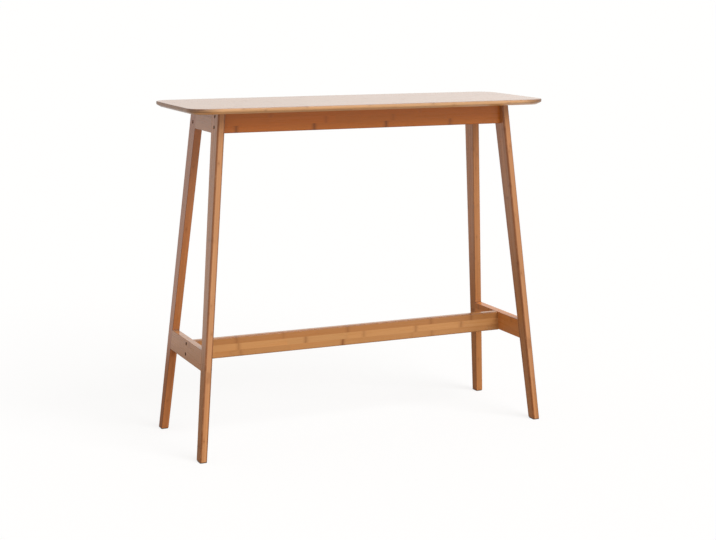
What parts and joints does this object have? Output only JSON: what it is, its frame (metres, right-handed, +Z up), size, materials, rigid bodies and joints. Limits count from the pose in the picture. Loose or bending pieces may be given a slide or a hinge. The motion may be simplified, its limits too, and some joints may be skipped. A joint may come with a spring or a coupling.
{
  "type": "bar table",
  "caption": "Narrow bamboo bar table: bevelled top with rounded corners, splayed tapered legs in leaning end frames, long aprons and a central foot rail.",
  "frame": {"origin": "on the floor under the middle of the table", "axes": "+X along the table's length, +Y towards the back, +Z up"},
  "size_m": [1.1858, 0.4184, 1.05],
  "materials": {
    "bamboo_top": "satin clear lacquer on caramel bamboo",
    "bamboo_leg": "satin clear lacquer on caramel bamboo",
    "bamboo_apron": "satin clear lacquer on caramel bamboo",
    "bamboo_stretcher": "satin clear lacquer on caramel bamboo",
    "bamboo_rail": "satin clear lacquer on caramel bamboo",
    "dowel": "plain fluted beech",
    "bolt": "dark bronze coated steel",
    "zinc_steel": "zinc plated",
    "pad": "dark brown felt-faced pad"
  },
  "bodies": {
    "root": {"apron_barrel_nuts_back_left": "zinc_steel", "apron_barrel_nuts_back_right": "zinc_steel", "apron_barrel_nuts_front_left": "zinc_steel", "apron_barrel_nuts_front_right": "zinc_steel", "apron_bolts_back_left": "bolt", "apron_bolts_back_right": "bolt", "apron_bolts_front_left": "bolt", "apron_bolts_front_right": "bolt", "end_apron_dowels_left": "dowel", "end_apron_dowels_right": "dowel", "end_apron_left": "bamboo_apron", "end_apron_right": "bamboo_apron", "end_stretcher_dowels_left": "dowel", "end_stretcher_dowels_right": "dowel", "end_stretcher_left": "bamboo_stretcher", "end_stretcher_right": "bamboo_stretcher", "foot_pad_back_left": "pad", "foot_pad_back_right": "pad", "foot_pad_front_left": "pad", "foot_pad_front_right": "pad", "foot_rail": "bamboo_rail", "leg_back_left": "bamboo_leg", "leg_back_right": "bamboo_leg", "leg_front_left": "bamboo_leg", "leg_front_right": "bamboo_leg", "long_apron_back": "bamboo_apron", "long_apron_front": "bamboo_apron", "rail_barrel_nuts_left": "zinc_steel", "rail_barrel_nuts_right": "zinc_steel", "rail_bolts_left": "bolt", "rail_bolts_right": "bolt", "tabletop": "bamboo_top", "top_screws_back": "zinc_steel", "top_screws_front": "zinc_steel", "top_screws_left": "zinc_steel", "top_screws_right": "zinc_steel"}
  },
  "joints": []
}
